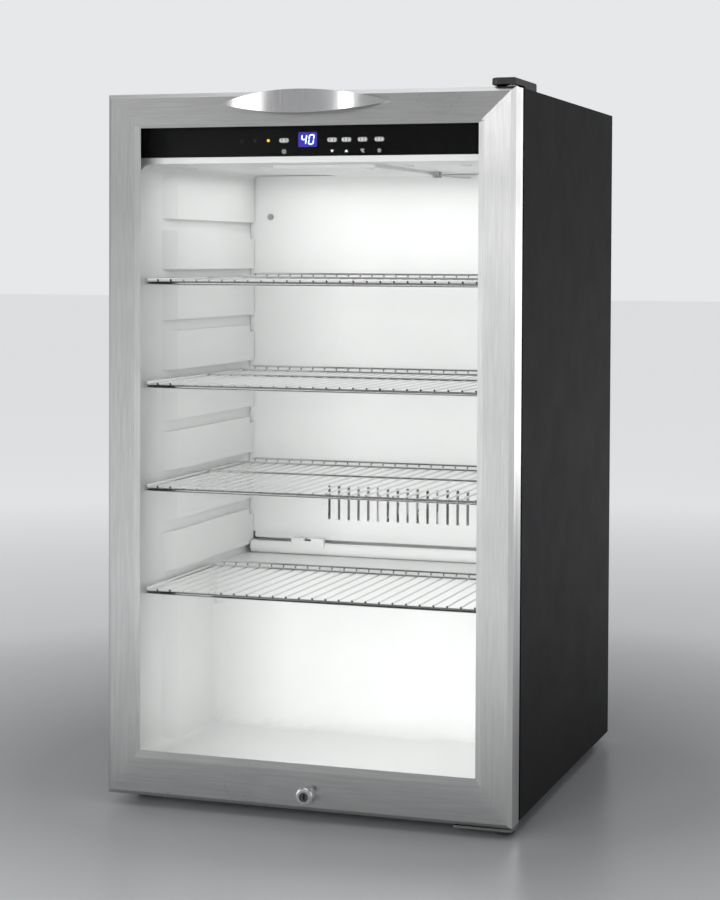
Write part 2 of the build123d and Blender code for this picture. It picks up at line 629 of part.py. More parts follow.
def make_fan():
    """Air circulation fan behind the slots, blowing up past the cold plate."""
    y0, y1 = COVER_FRONT + 5, COVER_FRONT + 27
    z = 321.0
    frame = block(-44, 44, y0, y1, z - 44, z + 44) - rod_y(0, y0 - 1, y1 + 1, z, 41.0)
    for x, zz in ((-38, z - 38), (38, z - 38), (-38, z + 38), (38, z + 38)):
        frame -= rod_y(x, y0 - 1, y1 + 1, zz, 2.0)
    frame = frame + block(-43, 43, y1 - 3, y1, z - 2, z + 2) + block(-2, 2, y1 - 3, y1, z - 43, z + 43)
    frame += rod_y(0, y0 + 8, y1, z, 13.0)
    frame -= rod_y(0, y0, y0 + 16, z, 1.55)
    parts["fan_frame_and_motor"] = frame
    hub = rod_y(0, y0 + 1, y0 + 7.5, z, 14.0) + rod_y(0, y0 + 6, y0 + 15, z, 1.5)
    for i in range(7):
        blade = Rot(0, 360 / 7 * i, 0) * Pos(26, 0, 0) * Rot(35, 0, 0) * Box(27, 1.2, 11)
        hub += Pos(0, y0 + 4.5, z) * blade
    parts["fan_blade"] = hub & rod_y(0, y0 + 0.2, y0 + 16, z, 39.5)


def make_drain():
    """Trough under the cold plate, with the hose that drains it into the bay."""
    front, back = COVER_FRONT - 17, LINER_BACK - 7
    half = TROUGH_HALF_W
    trough = block(-half, half, front, back, HUMP_TOP + CLEAR, TROUGH_TOP)
    trough = fillet(trough.edges().filter_by(Axis.X).sort_by(Axis.Y)[:2], 7.5)
    channel = block(-half + 3, half - 3, front + 6, back - 3, 256, TROUGH_TOP + 3)
    trough -= fillet(channel.edges().filter_by(Axis.Z), 4.0)
    clip_left, clip_right = TROUGH_CLIP
    clip = block(clip_left, clip_right, front - 2, front + 4, TROUGH_TOP - 8, TROUGH_TOP + 6)
    clip = fillet(clip.edges().filter_by(Axis.Y), 3.0)
    clip -= block(clip_left + 18, clip_right - 18, front - 3, front + 5, TROUGH_TOP + 2, TROUGH_TOP + 7)
    trough += clip
    trough += rod_z(DRAIN_X, DRAIN_Y, BAY_TOP - 6, 254, HOSE_R)
    trough -= rod_z(DRAIN_X, DRAIN_Y, BAY_TOP - 7, 257, HOSE_R - 1.4)
    parts["drain_trough"] = trough


def make_ceiling_fittings():
    """Flat lamp housing on the ceiling, its lens, sensor tube and screw caps."""
    x0, x1 = -79.0, 55.0
    y0, y1 = -155.0, 124.0
    low = CEILING_Z - 4.0
    housing = block(x0, x1, y0, y1, low, CEILING_Z - 0.1)
    housing = fillet(housing.edges().filter_by(Axis.Z), 10.0)
    housing -= block(x0 + 18, x1 - 18, y0 + 14, y0 + 44, low - 1, low + 2.5)
    housing += block(x0 + 22, x1 - 22, y0 + 20, y0 + 38, low + 1.9, low + 2.6)
    parts["ceiling_lamp_housing"] = housing
    lens = block(x0 + 18.2, x1 - 18.2, y0 + 14.2, y0 + 43.8, low - 1.0, low + 1.6)
    parts["ceiling_lamp_lens"] = fillet(lens.faces().sort_by(Axis.Z)[0].edges(), 0.8)
    sensor_z = CEILING_Z - 5.5
    points = [
        (62, 60, sensor_z), (62, 84, sensor_z), (74, 98, sensor_z),
        (62, 112, sensor_z), (74, 126, sensor_z), (88, 136, sensor_z),
    ]
    pieces = [tube(points, 1.3, 4.0)]
    for y in (66, 78):
        clip = block(58.5, 65.5, y - 3, y + 3, sensor_z - 2.6, CEILING_Z - 0.1)
        pieces.append(clip - rod_y(62, y - 4, y + 4, sensor_z, 1.4))
    parts["sensor_tube_and_clips"] = group(pieces)
    caps = []
    for x in (-204, -104, 58 + 20, 150):
        cap = rod_z(x, -104, CEILING_Z - 2.0, CEILING_Z - 0.05, 7.0)
        caps.append(fillet(cap.edges().sort_by(Axis.Z)[0], 1.2))
    parts["ceiling_screw_caps"] = group(caps)


def make_shelf(name, groove, back):
    """Wire shelf: front rail, side wires, cross wires and a turned-up back stop."""
    top = GROOVE_TOP - (groove - 1) * GROOVE_PITCH
    rail_z = top - 16.0
    side_z = top - GROOVE_H + CLEAR + SIDE_R
    wire_z = rail_z + RAIL_R + WIRE_R - 0.3
    rail = rod_x(-SHELF_SIDE_X - 2, SHELF_SIDE_X + 2, SHELF_FRONT + RAIL_R, rail_z, RAIL_R)
    rods = [rod_y(side * SHELF_SIDE_X, SHELF_FRONT + 0.8, back, side_z, SIDE_R) for side in (-1, 1)]
    crossings = [back - 5]
    if back > LOW_SHELF_BACK:
        crossings.append(SHELF_FRONT + SHELF_MID_SHARE * (back - SHELF_FRONT))
    for y in crossings:
        rods.append(rod_x(-SHELF_SIDE_X, SHELF_SIDE_X, y, side_z + SHELF_CROSS_LIFT, CROSS_R))
    path = FilletPolyline(
        (0, SHELF_FRONT + 0.6, wire_z), (0, back, wire_z), (0, back, wire_z + SHELF_STOP_RISE), radius=3.0
    )
    wire = sweep(Plane(origin=path @ 0, z_dir=path % 0) * Circle(WIRE_R), path=path)
    middle_wire = (WIRE_COUNT - 1) / 2
    rods += [Pos((i - middle_wire) * WIRE_PITCH, 0, 0) * wire for i in range(WIRE_COUNT)]
    stop_half = middle_wire * WIRE_PITCH + 4
    rods.append(rod_x(-stop_half, stop_half, back + 0.6, wire_z + SHELF_STOP_RISE, CROSS_R))
    parts[name] = rail + rods


def make_shelves():
    names = ("shelf_top", "shelf_upper", "shelf_lower", "shelf_bottom")
    for name, groove in zip(names, SHELF_GROOVES):
        back = LOW_SHELF_BACK if groove == SHELF_GROOVES[-1] else SHELF_BACK
        make_shelf(name, groove, back)


# ---------------------------------------------------------------- controls

def oval_prism(x, z, width, height, y0, y1):
    flat = Plane(origin=(x, y0, z), x_dir=(1, 0, 0), z_dir=(0, -1, 0)) * SlotOverall(width, height)
    return extrude(flat, amount=y1 - y0, dir=(0, 1, 0))


def make_controls():
    """Control housing in the cabinet header, with its snap-in front, above the opening."""
    front = CABINET_FRONT
    back = front + HEADER_DEPTH
    housing = header_pocket(0, front + 2.6, back)
    housing -= block(
        -HEADER_HALF_W + 2, HEADER_HALF_W - 2, front, back - 2, FASCIA_BOTTOM + 2, FASCIA_TOP - 2
    )
    parts["control_housing"] = housing
    fascia = header_pocket(0, front, front + 2.5)
    for x in FASCIA_TABS:
        for low, high in ((FASCIA_BOTTOM + 2.1, FASCIA_BOTTOM + 3.6), (FASCIA_TOP - 3.6, FASCIA_TOP - 2.1)):
            fascia += block(x - FASCIA_TAB_HALF, x + FASCIA_TAB_HALF, front + 2, front + 11, low, high)
    for x in BUTTON_XS:
        fascia -= oval_prism(x, BUTTON_Z, BUTTON_W + 0.4, BUTTON_H + 0.4, front - 1, front + 3)
    for x in LED_XS:
        fascia -= rod_y(x, front - 1, front + 3, BUTTON_Z, LED_R + 0.05)
    fascia -= block(
        DISPLAY_X - DISPLAY_W / 2 - 0.1, DISPLAY_X + DISPLAY_W / 2 + 0.1, front - 1, front + 3,
        DISPLAY_Z - DISPLAY_H / 2 - 0.1, DISPLAY_Z + DISPLAY_H / 2 + 0.1,
    )
    parts["control_fascia"] = fascia
    parts["display_window"] = block(
        DISPLAY_X - DISPLAY_W / 2, DISPLAY_X + DISPLAY_W / 2, front + 0.2, front + 2.5,
        DISPLAY_Z - DISPLAY_H / 2, DISPLAY_Z + DISPLAY_H / 2,
    )
    leds = []
    for x in LED_XS:
        led = rod_y(x, front - 0.5, front + 10.2, BUTTON_Z, LED_R)
        leds.append(fillet(led.edges().sort_by(Axis.Y)[0], 0.9))
    parts["status_leds"] = group(leds)
    board = block(-118, 118, front + 14.0, front + 15.6, 771, 809)
    board += block(
        DISPLAY_X - DISPLAY_W / 2 - 1, DISPLAY_X + DISPLAY_W / 2 + 1, front + 2.7, front + 14.0,
        DISPLAY_Z - DISPLAY_H / 2 - 1, DISPLAY_Z + DISPLAY_H / 2 + 1,
    )
    for number, x in enumerate(BUTTON_XS, start=1):
        cap = oval_prism(x, BUTTON_Z, BUTTON_W, BUTTON_H, front - BUTTON_PROUD, front + 5)
        cap = fillet(cap.faces().sort_by(Axis.Y)[0].edges(), 1.3)
        cap += oval_prism(x, BUTTON_Z, BUTTON_W + 2.4, BUTTON_H + 2.4, front + 3.4, front + 5)
        cap += rod_y(x, front + 4, front + 9, BUTTON_Z, 1.4)
        parts["control_button_" + str(number)] = cap
        board += block(x - 3, x + 3, front + 10.0, front + 14.0, BUTTON_Z - 3, BUTTON_Z + 3)
    parts["control_board"] = board


# ---------------------------------------------------------------- hinges and feet

def make_top_hinge():
    """Plate screwed to the cabinet top, cranked up over the door, its pin riveted in."""
    plate_z = CABINET_TOP + 0.1
    step_z = CABINET_TOP + 2.6
    plate_back = CABINET_FRONT + HINGE_PLATE_REACH
    profile = [
        (plate_back, plate_z), (plate_back, plate_z + 2.5), (CABINET_FRONT + 6, plate_z + 2.5),
        (CABINET_FRONT + 2, step_z + 2.5), (HINGE_Y - 8, step_z + 2.5), (HINGE_Y - 8, step_z),
        (CABINET_FRONT + 1, step_z), (CABINET_FRONT + 5, plate_z),
    ]
    plate = prism_yz(profile, HINGE_X - 8, HALF_W - 1.6)
    holes = [(HINGE_X - 1, CABINET_FRONT + 16), (HINGE_X - 1, plate_back - 10)]
    for x, y in holes:
        plate -= rod_z(x, y, CABINET_TOP - 5, CABINET_TOP + 9, 2.2)
        parts["top_panel"] -= rod_z(x, y, CABINET_TOP - 5, CABINET_TOP + 1, 2.2)
        parts["insulation_foam"] -= rod_z(x, y, CABINET_TOP - 16, CABINET_TOP, 2.3)
        screw = rod_z(x, y, CABINET_TOP - 12, CABINET_TOP + 2.7, 2.1)
        cabinet_screws.append(screw + rod_z(x, y, CABINET_TOP + 2.7, CABINET_TOP + 5.2, 4.0))
    pin = rod_z(HINGE_X, HINGE_Y, DOOR_TOP - 12, step_z + 3.6, PIN_R)
    parts["top_hinge_plate"] = plate + chamfer(pin.edges().sort_by(Axis.Z)[0], 0.8)


def make_hinge_cover():
    """Hollow plastic cap over the top hinge plate, rounded at its front corner."""
    x0, x1 = HINGE_COVER_X, HALF_W - 0.1
    y0, y1 = -250.0, HINGE_COVER_BACK
    low, high = CABINET_TOP + 1.9, CABINET_TOP + HINGE_COVER_HIGH
    cover = block(x0, x1, y0, y1, low, high)
    verticals = cover.edges().filter_by(Axis.Z)
    cover = fillet(verticals.group_by(Axis.Y)[0].sort_by(Axis.X)[0], 11.0)
    cover = fillet(cover.edges().filter_by(Axis.Z).group_by(Axis.Y)[-1].sort_by(Axis.X)[0], 6.0)
    cover = fillet(cover.faces().sort_by(Axis.Z)[-1].edges(), 2.0)
    hollow = block(x0 + 4.0, x1 - 1.3, y0 + 6, y1 - 2, low - 1, high - 1.8)
    hollow = fillet(hollow.edges().filter_by(Axis.Z).group_by(Axis.Y)[0].sort_by(Axis.X)[0], 8.0)
    rear_skirt = block(x0, x1, CABINET_FRONT + 3, y1, CABINET_TOP + 0.1, low)
    rear_skirt -= block(x0 + 2, x1 - 1.3, CABINET_FRONT + 2, y1 - 2, CABINET_TOP, low + 1)
    parts["top_hinge_cover"] = cover - hollow + rear_skirt


def make_lower_hinge():
    """Flat bracket under the cabinet, reaching forward under the door, with its pin."""
    low, high = CABINET_BOTTOM - 3.1, CABINET_BOTTOM - 0.1
    outer, inner = HALF_W - 0.5, HALF_W - 11.5
    front, step, back = -247.0, -214.0, -150.0
    outline = [(178, front), (outer, front), (outer, step), (inner, step), (inner, back), (178, back)]
    face = make_face(Polyline([(x, y, low) for x, y in outline], close=True))
    plate = extrude(face, amount=high - low, dir=(0, 0, 1))
    plate = fillet(plate.edges().filter_by(Axis.Z), 4.0)
    plate -= rod_z(FOOT_X, FOOT_FRONT_Y, low - 1, high + 1, STEM_R + 0.3)
    for x, y in ((195, -195), (195, -162), (226, -162)):
        plate -= rod_z(x, y, low - 1, high + 1, 2.2)
        parts["base_pan"] -= rod_z(x, y, low - 1, high + 5, 2.2)
        parts["insulation_foam"] -= rod_z(x, y, low, high + 16, 2.3)
        cabinet_screws.append(rod_z(x, y, low - 2, low, 4.0) + rod_z(x, y, low - 0.5, high + 11, 2.1))
    pin = rod_z(HINGE_X, HINGE_Y, low - 1, DOOR_BOTTOM + 11, PIN_R)
    plate += chamfer(pin.edges().sort_by(Axis.Z)[-1], 0.8)
    parts["lower_hinge_plate"] = plate + rod_z(HINGE_X, HINGE_Y, low - 4, low, 6.5)


def make_hinge_bushes():
    bore = PIN_R + PIN_CLEARANCE
    top = rod_z(HINGE_X, HINGE_Y, DOOR_TOP - BUSH_DEPTH, DOOR_TOP, BUSH_R)
    top += rod_z(HINGE_X, HINGE_Y, DOOR_TOP, DOOR_TOP + 1.5, 6.5)
    top -= rod_z(HINGE_X, HINGE_Y, DOOR_TOP - BUSH_DEPTH - 1, DOOR_TOP + 3, bore)
    low = rod_z(HINGE_X, HINGE_Y, DOOR_BOTTOM, DOOR_BOTTOM + BUSH_DEPTH, BUSH_R)
    low += rod_z(HINGE_X, HINGE_Y, DOOR_BOTTOM - 0.8, DOOR_BOTTOM, 6.5)
    low -= rod_z(HINGE_X, HINGE_Y, 0, DOOR_BOTTOM + BUSH_DEPTH + 1, bore)
    parts["hinge_bushes"] = group([top, low])


def make_feet():
    """Screw-in levelling feet and the threaded sockets welded to the base."""
    places = (
        ("front_left", -FOOT_X, FOOT_FRONT_Y), ("front_right", FOOT_X, FOOT_FRONT_Y),
        ("rear_left", -FOOT_X, FOOT_BACK_Y), ("rear_right", FOOT_X, FOOT_BACK_Y),
    )
    for name, x, y in places:
        pad = rod_z(x, y, 0, 7.0, FOOT_R)
        pad = fillet(pad.edges().sort_by(Axis.Z)[-1], 1.5)
        pad = chamfer(pad.edges().sort_by(Axis.Z)[0], 1.0)
        stem = rod_z(x, y, 6.5, CABINET_BOTTOM + 22, STEM_R)
        parts["levelling_foot_" + name] = pad + stem
        base = "base_pan" if y < 0 else "compressor_plate"
        socket = rod_z(x, y, CABINET_BOTTOM + 0.5, CABINET_BOTTOM + 26, 8.0)
        parts[base] = parts[base] + socket - rod_z(x, y, 0, CABINET_BOTTOM + 24, STEM_R + 0.06)


# ---------------------------------------------------------------- machine bay

def make_compressor():
    """Hermetic compressor on its base, with the pump inside the can."""
    x, y = 80.0, 158.0
    base_z = CABINET_BOTTOM + 2
    can_low, can_high = base_z + 14, base_z + 158
    can = Pos(x, y, (can_low + can_high) / 2) * Box(168, 128, can_high - can_low)
    can = fillet(can.edges().filter_by(Axis.Z), 60.0)
    can = fillet(can.faces().sort_by(Axis.Z)[-1].edges(), 34.0)
    can = fillet(can.faces().sort_by(Axis.Z)[0].edges(), 22.0)
    inside = Pos(x, y, (can_low + can_high) / 2) * Box(162, 122, can_high - can_low - 6)
    inside = fillet(inside.edges().filter_by(Axis.Z), 57.0)
    inside = fillet(inside.faces().sort_by(Axis.Z)[-1].edges(), 31.0)
    inside = fillet(inside.faces().sort_by(Axis.Z)[0].edges(), 19.0)
    weld = Pos(x, y, base_z + 76) * Box(172, 132, 5)
    weld = fillet(weld.edges().filter_by(Axis.Z), 62.0)
    can = can + weld
    envelope = can
    feet = block(x - 100, x + 100, y - 62, y + 62, base_z + 9.5, base_z + 12.5)
    feet = fillet(feet.edges().filter_by(Axis.Z), 10.0)
    can = can + feet + block(x - 40, x + 40, y - 30, y + 30, base_z + 12, base_z + 17) - inside
    corners = [(x + sx * 88, y + sy * 50) for sx in (-1, 1) for sy in (-1, 1)]
    grommets, bolts = [], []
    for gx, gy in corners:
        can -= rod_z(gx, gy, base_z, base_z + 16, 7.2)
        grommet = rod_z(gx, gy, base_z + 0.1, base_z + 18, 7.0)
        grommet += rod_z(gx, gy, base_z + 0.1, base_z + 9.3, 11.0)
        grommets.append(grommet - rod_z(gx, gy, base_z - 1, base_z + 19, 3.2))
        bolt = rod_z(gx, gy, base_z - 4, base_z + 18.2, 3.0)
        bolts.append(bolt + rod_z(gx, gy, base_z + 18.1, base_z + 22, 6.0))
        parts["compressor_plate"] -= rod_z(gx, gy, 0, base_z + 1, 3.2)
    pump = rod_z(x, y, can_low + 24, can_high - 30, 46.0) + rod_z(x, y, can_low + 14, can_low + 24.5, 52.0)
    parts["compressor"] = group([can, pump])
    parts["compressor_mounts"] = group(grommets + bolts)
    cap = block(x - 128, x - 66, y - 32, y + 32, base_z + 44, base_z + 108)
    cap = fillet(cap.edges().filter_by(Axis.X), 8.0)
    cap = cap - block(x - 125, x - 60, y - 29, y + 29, base_z + 47, base_z + 105) - envelope
    relay = block(x - 112, x - 70, y - 16, y + 16, base_z + 60, base_z + 92) - envelope
    parts["start_relay_and_cover"] = group([cap, relay])


def make_refrigerant_lines():
    """Condenser tubes, drier and the lines between them, compressor and cold plate."""
    drier = fillet(rod_z(-70, 120, 70, 165, 9.0).edges(), 5.0)
    suction = [
        (SUCTION_X, 182.4, PLATE_TUBE_END - 0.1), (SUCTION_X, 182.4, SUCTION_Z),
        (SUCTION_X, SUCTION_Y, SUCTION_Z), (SUCTION_X, SUCTION_Y, 190),
        (SUCTION_X, 158, 150), (SUCTION_X + 14, 158, 112), (164.1, 158, 112),
    ]
    discharge = [(5.5, 196, 96), (-30, 206, 100), (-30, 212, 30), (-200, 212, 30), (-200, 212, 190)]
    lines = [drier, tube(suction, 3.2, 8.0), tube(discharge, 2.4, 10.0)]
    lines += [tube(condenser_points(side), 2.4, CONDENSER_BEND) for side in (-1, 1)]
    parts["refrigerant_lines"] = group(lines)


def make_drip_tray():
    """Evaporating tray on top of the compressor, under the drain hose."""
    tray = block(-175, 140, 84, 206, 182, 208)
    tray = fillet(tray.edges().filter_by(Axis.Z), 12.0)
    inner = fillet(block(-173, 138, 86, 204, 184, 209).edges().filter_by(Axis.Z), 10.0)
    parts["drip_tray"] = tray - inner


def make_power_inlet():
    """Recessed three-pin inlet on the bay's back edge."""
    y = CABINET_BACK - 2
    socket = block(-216, -186, y - 16, y + 1.9, 56, 78)
    socket = fillet(socket.edges().filter_by(Axis.Y), 3.0)
    socket -= block(-212.5, -189.5, y - 12, y + 4, 59.5, 74.5)
    for x, z in ((-207, 65), (-201, 69.5), (-195, 65)):
        socket += block(x - 0.8, x + 0.8, y - 13, y + 0.5, z - 2.2, z + 2.2)
    flange = block(-232, -170, y, y + 1.6, CABINET_BOTTOM + 16, 96)
    flange -= block(-215, -187, y - 1, y + 3, 57, 77)
    parts["power_inlet"] = socket + flange


def write_parts():
    os.makedirs("parts", exist_ok=True)
    for name, shape in parts.items():
        export_step(shape, "parts/" + name + ".step")


make_door_frame()
make_door_core()
make_glazing()
make_gasket()
make_handle()
make_lock()
make_strike()
make_side_panels()
make_top_panel()
make_base()
make_liner()
make_foam()
make_bay_lining()
make_back_panel()
make_wall_spacers()
make_evaporator()
make_fan()
make_drain()
make_ceiling_fittings()
make_shelves()
make_controls()
make_top_hinge()
make_hinge_cover()
make_lower_hinge()
make_hinge_bushes()
make_feet()
make_compressor()
make_refrigerant_lines()
make_drip_tray()
make_power_inlet()
parts["cabinet_screws"] = group(cabinet_screws)
write_parts()
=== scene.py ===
import json
import math

import bmesh
import bpy
from mathutils import Euler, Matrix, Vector, noise


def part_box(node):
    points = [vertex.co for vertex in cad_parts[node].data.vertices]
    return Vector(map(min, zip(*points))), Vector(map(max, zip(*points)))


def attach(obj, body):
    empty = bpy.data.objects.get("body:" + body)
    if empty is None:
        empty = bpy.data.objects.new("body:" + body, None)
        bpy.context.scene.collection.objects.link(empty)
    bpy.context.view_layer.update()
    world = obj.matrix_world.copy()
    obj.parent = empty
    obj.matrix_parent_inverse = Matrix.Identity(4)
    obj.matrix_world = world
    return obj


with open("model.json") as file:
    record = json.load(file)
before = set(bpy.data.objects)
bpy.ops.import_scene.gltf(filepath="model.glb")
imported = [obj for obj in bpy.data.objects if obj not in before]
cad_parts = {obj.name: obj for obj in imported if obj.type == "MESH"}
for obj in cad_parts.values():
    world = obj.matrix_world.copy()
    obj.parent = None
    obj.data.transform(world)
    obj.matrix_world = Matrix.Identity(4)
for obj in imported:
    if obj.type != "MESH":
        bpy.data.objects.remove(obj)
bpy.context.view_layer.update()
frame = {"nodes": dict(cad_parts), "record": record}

# Looks of a glass-door undercounter refrigerator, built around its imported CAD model.
# Metres. +X right, +Y to the back, +Z up, the door facing -Y.

MM = 0.001

# Liner, as drawn in the CAD model.
SKIN = 1.5 * MM
PAD_RISE = 7 * MM
CEILING_GAP = 0.1 * MM
HUMP_Y = 18 * MM

# Rounded inner corners of the liner.
COVE_START = 2 * MM
CEILING_COVE = 16 * MM
FLOOR_COVE = 18 * MM
STEP_COVE = 14 * MM
STEP_COVE_DROP = 6 * MM
FOLD_REACH = 17 * MM
FOLD_STATIONS = 140

# Boot under the lower hinge.
BOOT_RADIUS = 12.2 * MM
BOOT_ROUNDING = 2.6 * MM
BOOT_DROP = 0.6 * MM
BOOT_RISE = 3.95 * MM

# Fold at the foot of the step: how far each wave moves its reach.
SLOW_RIPPLE = 0.62
FAST_RIPPLE = 0.40

# Printed symbols under the buttons.
SYMBOL_DROP = 13.0 * MM
INK_RISE = 0.06 * MM
INK_SINK = 0.02 * MM

# Floor: greyer near the object as painted shade, and self-lit far away as a painted glow, both set by
# distance from the object's middle, in metres.
FLOOR_NEAR_PAINTED_SHADE = (0.38, 0.385, 0.395)
FLOOR_FAR = (0.94, 0.945, 0.955)
FLOOR_SHADE_FADE = (0.42, 1.15)
FLOOR_PAINTED_GLOW_REACH = (0.9, 3.0)
FLOOR_PAINTED_GLOW = 0.36

# World: strength as a light, and strength as the backdrop.
WORLD_LIGHT = 0.48
WORLD_BACKDROP = 1.0

# Camera at the photograph's angle: place in metres, angles in degrees, lens in millimetres.
CAMERA_PLACE = (0.8289, -2.5107, 0.6497)
CAMERA_TURN = 18.623
CAMERA_TILT = 1.552
CAMERA_ROLL = 0.252
CAMERA_LENS = 84.12
CAMERA_SHIFT_Y = -0.15

BUTTONS = range(1, 6)
NODES = frame["nodes"]
SLOT_OF = {s["node"]: s["material_slot"] for s in frame["record"]["subparts"]}


# ------------------------------------------------------------------ materials

class Material:
    """A node material around one Principled shader, patterned in the object's own coordinates."""

    def __init__(self, name, colour, roughness, metallic=0.0, **sockets):
        self.data = bpy.data.materials.new(name)
        self.data.use_nodes = True
        self.tree = self.data.node_tree
        self.shader = self.tree.nodes["Principled BSDF"]
        self.shader.inputs["Base Color"].default_value = (*colour, 1.0)
        self.shader.inputs["Roughness"].default_value = roughness
        self.shader.inputs["Metallic"].default_value = metallic
        for socket, value in sockets.items():
            self.shader.inputs[socket.replace("_", " ")].default_value = value
        self.colour = colour
        self.place = self.tree.nodes.new("ShaderNodeTexCoord")

    def link(self, source, target):
        self.tree.links.new(source, target)

    def noise(self, stretch, detail=3.0, roughness=0.55):
        """Noise whose features repeat stretch times a metre along X, Y and Z."""
        mapping = self.tree.nodes.new("ShaderNodeMapping")
        mapping.inputs["Scale"].default_value = stretch
        self.link(self.place.outputs["Object"], mapping.inputs["Vector"])
        texture = self.tree.nodes.new("ShaderNodeTexNoise")
        texture.inputs["Scale"].default_value = 1.0
        texture.inputs["Detail"].default_value = detail
        texture.inputs["Roughness"].default_value = roughness
        self.link(mapping.outputs["Vector"], texture.inputs["Vector"])
        return texture.outputs["Fac"]

    def spread(self, value, low, high, from_low=0.3, from_high=0.7):
        """The value stretched to run from low to high while it goes from from_low to from_high."""
        node = self.tree.nodes.new("ShaderNodeMapRange")
        node.inputs["From Min"].default_value = from_low
        node.inputs["From Max"].default_value = from_high
        node.inputs["To Min"].default_value = low
        node.inputs["To Max"].default_value = high
        self.link(value, node.inputs["Value"])
        return node.outputs["Result"]

    def mix_colours(self, factor, first, second):
        """Colour that runs from the first to the second as the factor goes from 0 to 1."""
        mix = self.tree.nodes.new("ShaderNodeMix")
        mix.data_type = "RGBA"
        mix.inputs[6].default_value = (*first, 1.0)
        mix.inputs[7].default_value = (*second, 1.0)
        self.link(factor, mix.inputs["Factor"])
        return mix.outputs[2]

    def vary_colour(self, value, darker, lighter):
        """Base colour between two factors of its own value."""
        first, second = ([min(1.0, c * share) for c in self.colour] for share in (darker, lighter))
        mixed = self.mix_colours(self.spread(value, 0.0, 1.0), first, second)
        self.link(mixed, self.shader.inputs["Base Color"])
        return self

    def vary_roughness(self, value, low, high):
        self.link(self.spread(value, low, high), self.shader.inputs["Roughness"])
        return self

    def bump(self, value, height, strength=0.5):
        """Relief from the value, height metres deep."""
        node = self.tree.nodes.new("ShaderNodeBump")
        node.inputs["Strength"].default_value = strength
        node.inputs["Distance"].default_value = height
        self.link(value, node.inputs["Height"])
        self.link(node.outputs["Normal"], self.shader.inputs["Normal"])
        return self

    def grain_direction(self, axis):
        """Axis of the radial tangent that gives flat front faces one brushing direction."""
        tangent = self.tree.nodes.new("ShaderNodeTangent")
        tangent.direction_type = "RADIAL"
        tangent.axis = axis
        self.link(tangent.outputs["Tangent"], self.shader.inputs["Tangent"])
        return self


def brushed(name, colour, along, low, high, anisotropic=0.0):
    """Brushed metal, with fine scratches along one axis and broad, faint smudges."""
    fine = {"X": (22, 760, 760), "Y": (760, 22, 760), "Z": (760, 760, 22)}[along]
    metal = Material(name, colour, (low + high) / 2, 1.0, Anisotropic=anisotropic)
    scratches = metal.noise(fine, 4.0)
    metal.vary_colour(scratches, 0.90, 1.07)
    metal.vary_roughness(metal.noise((9, 9, 9)), low, high)
    return metal.bump(scratches, 0.00003, 0.35)


def plastic(name, colour, low, high, grain, height, **sockets):
    """Moulded plastic: fine grain, faint cloudiness and uneven gloss."""
    material = Material(name, colour, (low + high) / 2, **sockets)
    material.vary_colour(material.noise((7, 7, 7)), 0.97, 1.02)
    material.vary_roughness(material.noise((22, 22, 22)), low, high)
    return material.bump(material.noise((grain,) * 3, 2.0), height, 0.4)


def glazing():
    """Clear pane that lets light straight through and reflects by its angle."""
    material = Material("clear_glass", (0.92, 0.96, 0.95), 0.02)
    tree = material.tree
    glossy = tree.nodes.new("ShaderNodeBsdfGlossy")
    material.link(material.spread(material.noise((14, 14, 14)), 0.015, 0.045), glossy.inputs["Roughness"])
    clear = tree.nodes.new("ShaderNodeBsdfTransparent")
    clear.inputs["Color"].default_value = (0.985, 0.986, 0.985, 1.0)
    fresnel = tree.nodes.new("ShaderNodeFresnel")
    fresnel.inputs["IOR"].default_value = 1.14
    mix = tree.nodes.new("ShaderNodeMixShader")
    material.link(fresnel.outputs["Fac"], mix.inputs["Fac"])
    material.link(clear.outputs["BSDF"], mix.inputs[1])
    material.link(glossy.outputs["BSDF"], mix.inputs[2])
    tree.nodes.remove(material.shader)
    material.link(mix.outputs["Shader"], tree.nodes["Material Output"].inputs["Surface"])
    return material


def status_lights():
    """Three small lamps in one material: only the one nearest the display is lit."""
    material = Material("led_amber", (0.05, 0.025, 0.01), 0.3, Emission_Strength=3.0)
    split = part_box("status_leds")[1].x - 8 * MM
    parts = material.tree.nodes.new("ShaderNodeSeparateXYZ")
    material.link(material.place.outputs["Object"], parts.inputs["Vector"])
    lit = material.tree.nodes.new("ShaderNodeMath")
    lit.operation = "GREATER_THAN"
    lit.inputs[1].default_value = split
    material.link(parts.outputs["X"], lit.inputs[0])
    glow = material.mix_colours(lit.outputs["Value"], (0.0, 0.0, 0.0), (1.0, 0.33, 0.02))
    material.link(glow, material.shader.inputs["Emission Color"])
    material.vary_roughness(material.noise((400, 400, 400)), 0.2, 0.4)
    return material


